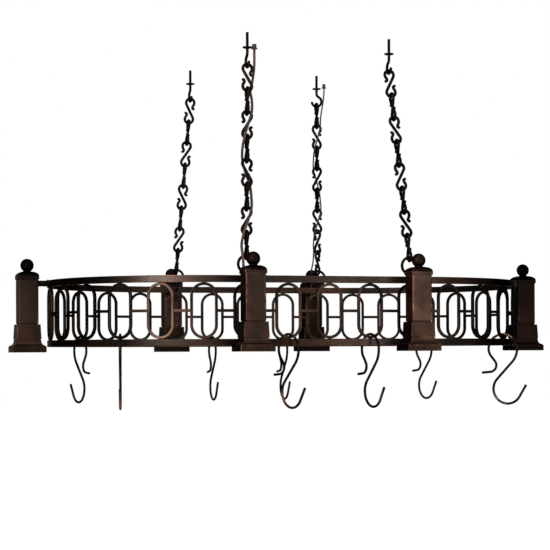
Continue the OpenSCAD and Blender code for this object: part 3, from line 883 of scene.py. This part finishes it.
def moulded(
    name, levels, closed=False, black_from=math.inf, dull_to=-math.inf, steps=8, hold=0.8
):
    """A block built of levels (half width, height, rub, corner radius), each a square with
    rounded corners, which are rubbed, or a circle where the radius is the half width. It is
    coloured darker from the height black_from up, which on the caps is painted shade on the
    domes' upward faces, and darker below dull_to."""
    work = bmesh.new()
    rub_layer = work.verts.layers.float.new("rubbed")
    black_layer = work.verts.layers.float.new("black")
    rings = []
    for half, height, rub, corner in levels:
        # darker from black_from up, which on a dome is painted shade, and darker below dull_to
        black = DOME_AND_BALL_DARKENING if height > black_from else FOOT_DARKENING if height < dull_to else 0
        r = min(corner, half)
        hub = half - r
        flat = hub - min(hold, hub)
        row = [(half, flat, 0)]
        for k in range(steps + 1):
            a = math.pi / 2 * k / steps
            row.append((hub + r * math.cos(a), hub + r * math.sin(a), r < half))
        row.append((flat, half, 0))
        ring = []
        for quarter in range(4):
            spin = Matrix.Rotation(quarter * math.pi / 2, 2)
            for x, y, edge in row:
                at = spin @ Vector((x, y))
                vert = work.verts.new((MM * at.x, MM * at.y, MM * height))
                vert[rub_layer] = max(rub, edge)
                vert[black_layer] = black
                ring.append(vert)
        rings.append(ring)
    count = len(rings[0])
    pairs = list(zip(rings, rings[1:])) + ([(rings[-1], rings[0])] if closed else [])
    for low, high in pairs:
        for k in range(count):
            n = (k + 1) % count
            work.faces.new((low[k], low[n], high[n], high[k]))
    if not closed:
        work.faces.new(rings[0][::-1])
        work.faces.new(rings[-1])
    bmesh.ops.remove_doubles(work, verts=work.verts, dist=1e-6)
    bmesh.ops.recalc_face_normals(work, faces=work.faces)
    mesh = bpy.data.meshes.new(name)
    work.to_mesh(mesh)
    work.free()
    mesh.shade_smooth()
    piece = bpy.data.objects.new(name, mesh)
    bpy.context.scene.collection.objects.link(piece)
    return piece


def levels_of(corners, corner, closed=False):
    """Levels for moulded from an outline of (half width, height, rounding radius), all
    with one corner radius, or round where it is None."""
    return [
        (x, z, rub, x if corner is None else corner) for x, z, rub in eased(corners, closed)]


def round_levels(*corners):
    """Round levels (radius, height) for moulded, with sharp edges."""
    return [(x, z, 0, x) for x, z in corners]


# edges worn to bare copper, strongly enough to also stand in for the key lamp's highlight on the
# shafts' rounded corners
post_finish = bronze_finish(
    "post bronze", (0.020, 0.0122, 0.0092), (0.039, 0.0203, 0.0140), 0.5, wear=0.8, cloud=9.0)
flare_w = FOOT_HALF - FOOT_STEP - BAND_HALF
flare_h = PLINTH_Z - BAND_H - FOOT_H - FOOT_STEP
flare_r = (flare_w**2 + flare_h**2) / 2 / flare_w
flare_turn = math.asin(flare_h / flare_r)
flare_steps = 8
flare = [
    (BAND_HALF + flare_r - flare_r * math.cos(a), PLINTH_Z - BAND_H - flare_r * math.sin(a), 0)
    for a in (flare_turn * (1 - k / flare_steps) for k in range(flare_steps + 1))
]
foot = [
    (SOLE_HALF, 0, 0), (FOOT_HALF, 0, 0.8), (FOOT_HALF, FOOT_H - 1, 1),
    (FOOT_HALF - FOOT_STEP, FOOT_H, 0),
]
band = [
    (BAND_HALF, PLINTH_Z - 1, 0.3), (BAND_HALF - BAND_STEP, PLINTH_Z - 0.6, 0),
    (BAND_HALF - BAND_STEP, PLINTH_Z + 0.2, 0),
]
plinth = [
    (PLINTH_HALF, PLINTH_Z + 0.6, 0.4), (PLINTH_TOP_HALF, GROOVE_Z, 1.6),
    (GROOVE_HALF, GROOVE_Z, 0), (GROOVE_HALF, SHAFT_Z, 0),
]
plug = [(PLUG_HALF, SHAFT_Z + BASE_PLUG_H, 0), (ROD_HOLE_R + 3, SHAFT_Z + BASE_PLUG_H, 0)]
base_levels = (
    round_levels((ROD_HOLE_R, NUT_HOLE_H), (NUT_HOLE_R, NUT_HOLE_H), (NUT_HOLE_R, 0))
    + levels_of(foot + flare + band + plinth + plug, BASE_CORNER)
)
rim = [(GROOVE_HALF, CAP_Z, 0), (RIM_HALF, CAP_Z, 0.8), (RIM_HALF, DOME_Z - 0.3, 0.8)]
dome = [
    (x, DOME_Z + DOME_H * math.sqrt(1 - (x / RIM_HALF) ** 3), 0)
    for x in (22.6, 22, 21, 19.5, 17.5, 15, 12, 9.6)
]
cap_levels = (
    round_levels((ROD_HOLE_R, CAP_Z - CAP_PLUG_H))
    + [(PLUG_HALF, z, 0, BASE_CORNER) for z in (CAP_Z - CAP_PLUG_H, CAP_Z)]
    + levels_of(rim + dome, CAP_CORNER)
    + [(NECK_R, NECK_Z - 0.2, 0.5, NECK_R)]
    + round_levels((ROD_HOLE_R, NECK_Z))
)
shaft_levels = levels_of(
    [(SHAFT_HALF - SHAFT_WALL, SHAFT_Z, 0.3), (SHAFT_HALF, SHAFT_Z, 0.6),
     (SHAFT_HALF, CAP_Z, 0.6), (SHAFT_HALF - SHAFT_WALL, CAP_Z, 0.3)],
    SHAFT_CORNER, closed=True)
ball_levels = round_levels(
    (BALL_FOOT_R, NECK_Z), (BALL_FOOT_R, NECK_Z + 0.8), (BALL_FOOT_R - 0.5, NECK_Z + 1.6)
) + [
    (BALL_R * math.sin(a), BALL_Z - BALL_R * math.cos(a), 0, BALL_R)
    for a in (math.radians(36 + 6 * k) for k in range(24))
]
for name, built, closed, skin, wiped, nodes_stood_for in (
    ("post_bases", base_levels, False, {"dull_to": FOOT_H + 1}, BASES_PAINTED_LIGHT,
     ["post_base_" + post for post in POSTS]),
    ("post_shafts", shaft_levels, True, {}, SHAFTS_PAINTED_LIGHT,
     ["post_shaft_" + post for post in POSTS]),
    # darker from the dome up: painted shade on its upward faces
    ("post_caps", cap_levels, False, {"black_from": DOME_Z - 0.2}, CAPS_PAINTED_LIGHT,
     ["post_cap_" + post for post in POSTS]),
    ("balls", ball_levels, False, {"black_from": 0}, CAPS_PAINTED_LIGHT, ["ball_finials"]),
):
    pattern = moulded("pattern", built, closed, **skin)
    piece = copies_of(pattern, name, post_places, post_finish, sharp=50, wiped=wiped)
    dispose(pattern)
    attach(piece, "rack")
    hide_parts(*nodes_stood_for)


# ---- Fasteners
# Turned spacers between the top rail and the posts with the screws that go through
# them, and the zinc-plated rod, washer and nut that clamp each post together.

SPACER_Z = TOP_RAIL_Z + RAIL_H / 2
SPACER_L = POST_REACH - RAIL_T / 2 - SHAFT_HALF
SPACER_R = 6.2
SPACER_BORE_R = 2.7
FLANGE_R = 8.5
FLANGE_T = 3
RIB_N = 4
RIB_START = 5.5
RIB_PITCH = 5
RIB_R = 6.5
RIB_GROOVE_R = 6.0
SCREW_R = 2.5
SCREW_HEAD_R = 4.75
SCREW_END = 37
# how much darker than the rest the spacers and screws are coloured
FASTENERS_DARKER = -0.7

lie_out = Matrix.Rotation(math.pi / 2, 4, "Y")
spacer_places = [
    place @ Matrix.Translation((-POST_REACH, 0, SPACER_Z)) @ lie_out for place in post_places]
rail_face = RAIL_T / 2
flange_end = rail_face + FLANGE_T
spacer_end = rail_face + SPACER_L
ribs = []
for k in range(RIB_N):
    z = rail_face + RIB_START + RIB_PITCH * k
    ribs += [
        (RIB_R, z, 0), (RIB_R, z + 2.6, 0),
        (RIB_GROOVE_R, z + 3.2, 0), (RIB_GROOVE_R, z + 4.4, 0),
    ]
flange = [
    (SPACER_BORE_R, rail_face, 0), (FLANGE_R, rail_face, 0.5),
    (FLANGE_R, flange_end, 0.8), (SPACER_R, flange_end, 0),
]
spacer_levels = levels_of(
    flange + ribs[:-1] + [(SPACER_R, spacer_end, 0), (SPACER_BORE_R, spacer_end, 0)],
    None, closed=True)
screw_head = [
    (1.4, -rail_face - 1.2, 0), (1.5, -rail_face - 2.9, 0), (2.9, -rail_face - 3, 0),
    (4.2, -rail_face - 2.2, 0.8), (SCREW_HEAD_R, -rail_face, 0.4),
]
screw_levels = levels_of(
    screw_head + [(SCREW_R, -rail_face, 0), (SCREW_R, SCREW_END, 0), (1.6, SCREW_END + 1, 0)],
    None)
for name, built, closed, node in (
    ("spacers", spacer_levels, True, "rail_spacers"),
    ("screws", screw_levels, False, "spacer_screws"),
):
    pattern = moulded("pattern", built, closed)
    piece = copies_of(
        pattern, name, spacer_places, rail_finish, sharp=50,
        wiped=[FASTENERS_DARKER] * len(POSTS))
    dispose(pattern)
    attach(piece, "rack")
    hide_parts(node)


def zinc_group():
    """Zinc plating: a fine spangle, and dull patches where it has been handled."""
    tree, given, out = new_finish("zinc plating", {
        "Bright": "Color", "Dull": "Color", "Spangle": "Float"})
    cells = put(tree, "ShaderNodeTexVoronoi", {
        "Vector": given["Vector"], "Scale": given["Spangle"]})
    tone = put(tree, "ShaderNodeSeparateColor", {"Color": cells["Color"]})[0]
    give_out(
        tree, out,
        Color=mixed(tree, tone, given["Dull"], given["Bright"]),
        Roughness=between(tree, tone, 0.0, 1.0, 0.28, 0.5),
        Height=cells["Distance"],
    )
    return tree


def finished_in(material, *nodes):
    """Gives CAD pieces whose shape stays a material."""
    for node in nodes:
        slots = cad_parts[node].data.materials
        slots.clear()
        slots.append(material)


finished_in(
    finish_material(
        "zinc plated steel", zinc_group(),
        {"Bright": (0.5, 0.5, 0.49, 1), "Dull": (0.33, 0.33, 0.33, 1), "Spangle": 500.0},
        bump=0.00005, Metallic=1.0),
    "tie_rods", "tie_nuts", "tie_washers")


# ---- Hanging rings
# Rings of round rod, each welded by a short foot on top of the upper rail, in line with
# one of the four posts of the long sides. The back right one stands a little askew.

RING_R = 17.5
RING_WIRE = 6
RING_GAP = 2
RING_FOOT_R = 4
RING_TURNS = {"back_right": -22}

ring_foot_h = RING_GAP + RING_WIRE / 2
ring_z = FEET_Z + RACK_TOP_Z + ring_foot_h + RING_R
ring_places = [
    upright_at(side_x * post_x, side_y * END_R, ring_z, math.radians(RING_TURNS.get(chain, 0)))
    for chain, (side_x, side_y, _, _) in CHAINS.items()
]
ring_steps = 48
circle = [
    (Vector((RING_R * math.cos(a), RING_R * math.sin(a))), 1.0)
    for a in (2 * math.pi * k / ring_steps for k in range(ring_steps))
]
ring = made_by(bent_rod, "ring", line_mesh([upright(circle)], closed=True), {
    "Wire": RING_WIRE * MM, "Sides": 16, "Material": chain_finish})
rings = copies_of(ring, "rings", ring_places, chain_finish)
dispose(ring)
ring_foot = moulded("foot", round_levels(
    (1, 0), (RING_FOOT_R, 0), (RING_FOOT_R, 0.8), (3.4, 2), (3.2, 3.2),
    (3.6, ring_foot_h), (1, ring_foot_h)))
foot_places = [
    place @ Matrix.Translation((0, 0, -RING_R - ring_foot_h)) for place in ring_places]
feet = copies_of(ring_foot, "ring_feet", foot_places, chain_finish)
dispose(ring_foot)
for piece in (rings, feet):
    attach(piece, "rack")
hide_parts(*("hanging_ring_" + chain for chain in CHAINS))


# ---- Pot hooks
# Eight loose S hooks of round rod: a saddle over the foot of an oval, a shank that
# sweeps in and a wide bowl for a pan, and a shorter tail that curls back.

POT_WIRE = 5.5
POT_GAP = 0.6
SADDLE_R = 31.5
SHANK_BEND_R = 42
SHANK_TURN = 42
SHANK_L = 50
BOWL_R = 32
BOWL_TURN = 66
LIP_R = 0.94 * BOWL_R
LIP_TURN = 84
LIP_L = 28
TAIL_BEND_R = 0.6 * SHANK_BEND_R
TAIL_BEND = 38
TAIL_SHANK_L = 14
TAIL_R = 14.5
TAIL_TURN = 123
TAIL_L = 17
# how far down the saddle is bare copper, and how much, and how far up the bowl is: wear, which
# also stands in for the hooks' copper highlights
SADDLE_COPPER_H = 8
SADDLE_COPPER = 0.5
BOWL_COPPER_H = 40
# a sawn end: (length beyond the line in thicknesses, share of the thickness)
CUT_FORM = ((0.18, 1.0), (0.29, 0.92), (0.34, 0.75), (0.35, 0.5))
# which oval, and the turn from square to the rail in degrees
POT_HOOKS = ((-11, -26), (-5, 30), (-1, 23), (1, 14), (5, 10), (11, -15), (15, -35), (-15, -29))

# worn to bare copper, which also stands in for the hooks' highlights
hook_finish = bronze_finish(
    "hook bronze", (0.006, 0.005, 0.0045), (0.020, 0.012, 0.008), 0.3,
    gloss=0.36, wear=0.9, cloud=14.0)
main = walk(
    [(SADDLE_R, 90), (SHANK_BEND_R, SHANK_TURN), (0, SHANK_L),
     (BOWL_R, -SHANK_TURN - BOWL_TURN), (LIP_R, -LIP_TURN), (0, LIP_L)],
    heading=90)
tail = walk(
    [(SADDLE_R, -90), (TAIL_BEND_R, -TAIL_BEND), (0, TAIL_SHANK_L),
     (TAIL_R, TAIL_TURN), (0, TAIL_L)],
    heading=-90)


def cut_end(line, wire):
    """A sawn end with its edge filed round, beyond a line's last point."""
    way = (line[-1] - line[-2]).normalized()
    return [(line[-1] + out * wire * way, share) for out, share in CUT_FORM]


pot_rod = (
    cut_end(tail, POT_WIRE)[::-1]
    + [(p, 1.0) for p in tail[:0:-1] + main]
    + cut_end(main, POT_WIRE)
)
pot_z = FEET_Z + LOWER_RAIL_Z + RAIL_H + OVAL_STRIP + POT_WIRE / 2 + POT_GAP
# bare copper in the bowl, where pans hang, and on the saddle, which they pull down: wear, and
# painted highlights there as well
bowl_z = min(p.y for p, _ in pot_rod)
rubbed = [
    max(0.0, 1 - (p.y - bowl_z) / BOWL_COPPER_H) + (SADDLE_COPPER if p.y > -SADDLE_COPPER_H else 0)
    for p, _ in pot_rod
]
for i, (oval_k, askew) in enumerate(POT_HOOKS, 1):
    x, y, turn = on_rails(oval_k * OVAL_PITCH)
    place = upright_at(x, y, pot_z, turn + math.radians(askew - 90))
    hook = made_by(bent_rod, f"hook_{i}", line_mesh([upright(pot_rod, place)], rubbed=rubbed), {
        "Wire": POT_WIRE * MM, "Sides": 20, "Material": hook_finish})
    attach(hook, f"pot_hook_{i}")
    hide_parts(f"pot_hook_{i}")


# ---- Bushes
# Black moulded bushes with a flange, where the cords leave the ceiling and where they
# go into the shaft of a post.

finished_in(
    finish_material(
        "moulded black", bronze,
        {"Dark": (0.006, 0.006, 0.006, 1), "Warm": (0.012, 0.011, 0.010, 1),
         "Bare": (0.02, 0.02, 0.02, 1), "Cloud scale": 60.0, "Warm share": 0.4,
         "Edge wear": 0.0, "Gloss": 0.5},
        bump=0.00006, Specular_IOR_Level=0.3),
    "ceiling_bushes", "post_bushes")


# ---- Studio
# A pale floor as far down as a room's and a white surround, with a broad lamp to the
# left of the camera at the height of the ceiling, a weak one low to its right, one from
# high above, and light from all round.

FLOOR_Z = -2.7
FLOOR_REACH = 60
FLOOR_GLOW = 0.75
ALL_ROUND_LIGHT = 0.45
LAMPS_AIM = (0, 0, -0.5)


def rays_of(tree, *kinds):
    """1 for a ray of one of these kinds, and 0 for any other."""
    path = put(tree, "ShaderNodeLightPath")
    found = path[kinds[0]]
    for kind in kinds[1:]:
        found = maths(tree, "MAXIMUM", found, path[kind])
    return found


def plain_floor():
    """A pale matt floor that the camera sees as white, apart from the shadow on it."""
    material = bpy.data.materials.new("floor")
    material.use_nodes = True
    tree = material.node_tree
    tree.nodes.remove(tree.nodes["Principled BSDF"])
    shown = rays_of(tree, "Is Camera Ray", "Is Glossy Ray")
    glow = put(tree, "ShaderNodeEmission", {
        "Color": (1, 1, 1, 1), "Strength": maths(tree, "MULTIPLY", shown, FLOOR_GLOW)})[0]
    matt = put(tree, "ShaderNodeBsdfDiffuse", {"Color": (0.8, 0.8, 0.79, 1)})[0]
    both = put(tree, "ShaderNodeAddShader", {0: glow, 1: matt})[0]
    tree.links.new(both, tree.nodes["Material Output"].inputs["Surface"])
    return material


floor_mesh = bpy.data.meshes.new("floor")
floor_mesh.from_pydata(
    [(FLOOR_REACH * x, FLOOR_REACH * y, FLOOR_Z) for x, y in SQUARE], [], [(0, 1, 2, 3)])
floor_mesh.materials.append(plain_floor())
floor = bpy.data.objects.new("floor", floor_mesh)
bpy.context.scene.collection.objects.link(floor)

world = bpy.data.worlds.new("studio")
bpy.context.scene.world = world
world.use_nodes = True
sky = world.node_tree
shown = rays_of(sky, "Is Camera Ray", "Is Glossy Ray", "Is Transmission Ray")
strength = between(sky, shown, 0.0, 1.0, ALL_ROUND_LIGHT, 1.0)
sky.nodes["Background"].inputs["Color"].default_value = (1, 1, 1, 1)
sky.links.new(strength, sky.nodes["Background"].inputs["Strength"])


def soft_lamp(name, at, size, watts):
    """A square area lamp that looks at the rack."""
    lamp = bpy.data.lights.new(name, "AREA")
    lamp.size = size
    lamp.energy = watts
    piece = bpy.data.objects.new(name, lamp)
    piece.location = at
    piece.rotation_euler = (Vector(LAMPS_AIM) - Vector(at)).to_track_quat("-Z", "Y").to_euler()
    piece.visible_camera = False
    bpy.context.scene.collection.objects.link(piece)


soft_lamp("key", (-2.68, -2.97, 0.13), 1.2, 100)
soft_lamp("fill", (1.37, -3.76, -0.45), 0.9, 20)
soft_lamp("top", (-1.0, -2.6, 2.6), 2.0, 60)
bpy.context.scene.view_settings.view_transform = "Standard"
